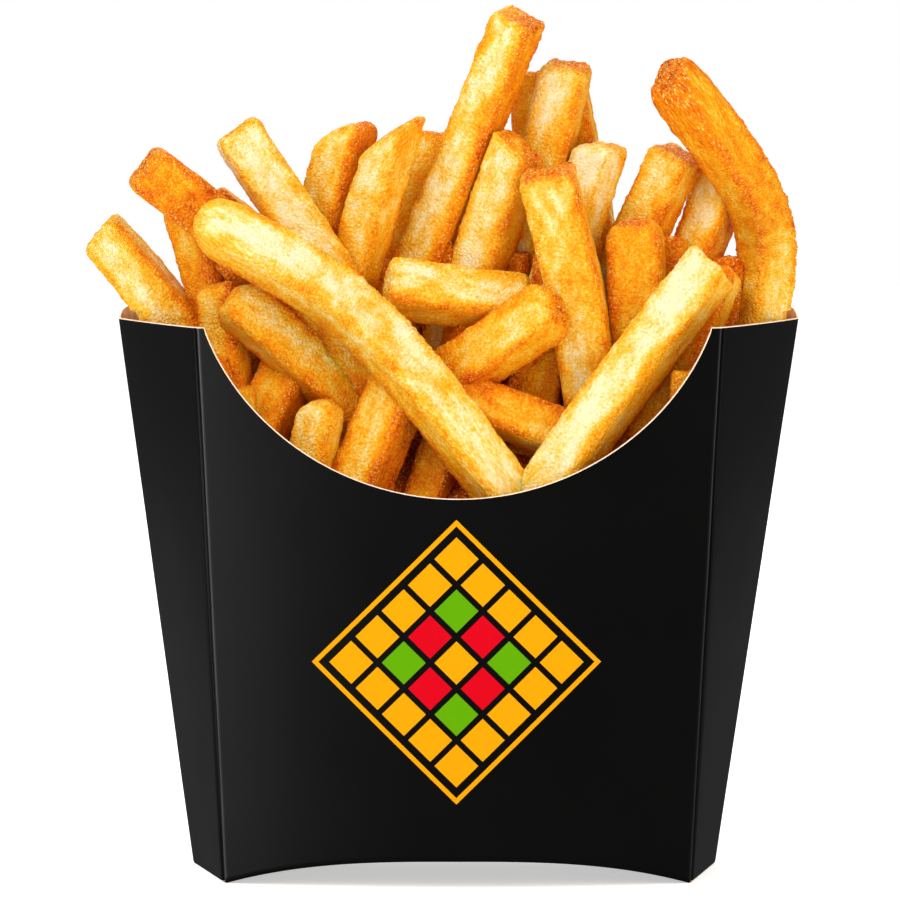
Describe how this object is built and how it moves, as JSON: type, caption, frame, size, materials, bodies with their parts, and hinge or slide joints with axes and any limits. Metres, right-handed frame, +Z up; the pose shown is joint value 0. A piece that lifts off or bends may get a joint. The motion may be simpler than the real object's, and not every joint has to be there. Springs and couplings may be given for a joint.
{
  "type": "french fries in a carton",
  "caption": "Scoop-front black board carton, wider at the top, packed with a heap of straight-cut golden fries that stand out over its rim.",
  "frame": {"origin": "middle of the bottom of the bounding box, on the plane that the carton stands on", "axes": "+Z up; the scooped front faces -Y; +X to the right as seen from the front"},
  "size_m": [0.1458, 0.0522, 0.1749],
  "materials": {
    "carton_board": "matt laminated black board outside, bare brown board inside, pale cut edge",
    "fried_potato": "pale gold fried crust, browned at the ends"
  },
  "bodies": {
    "root": {"carton": "carton_board", "fries": "fried_potato"}
  },
  "joints": []
}
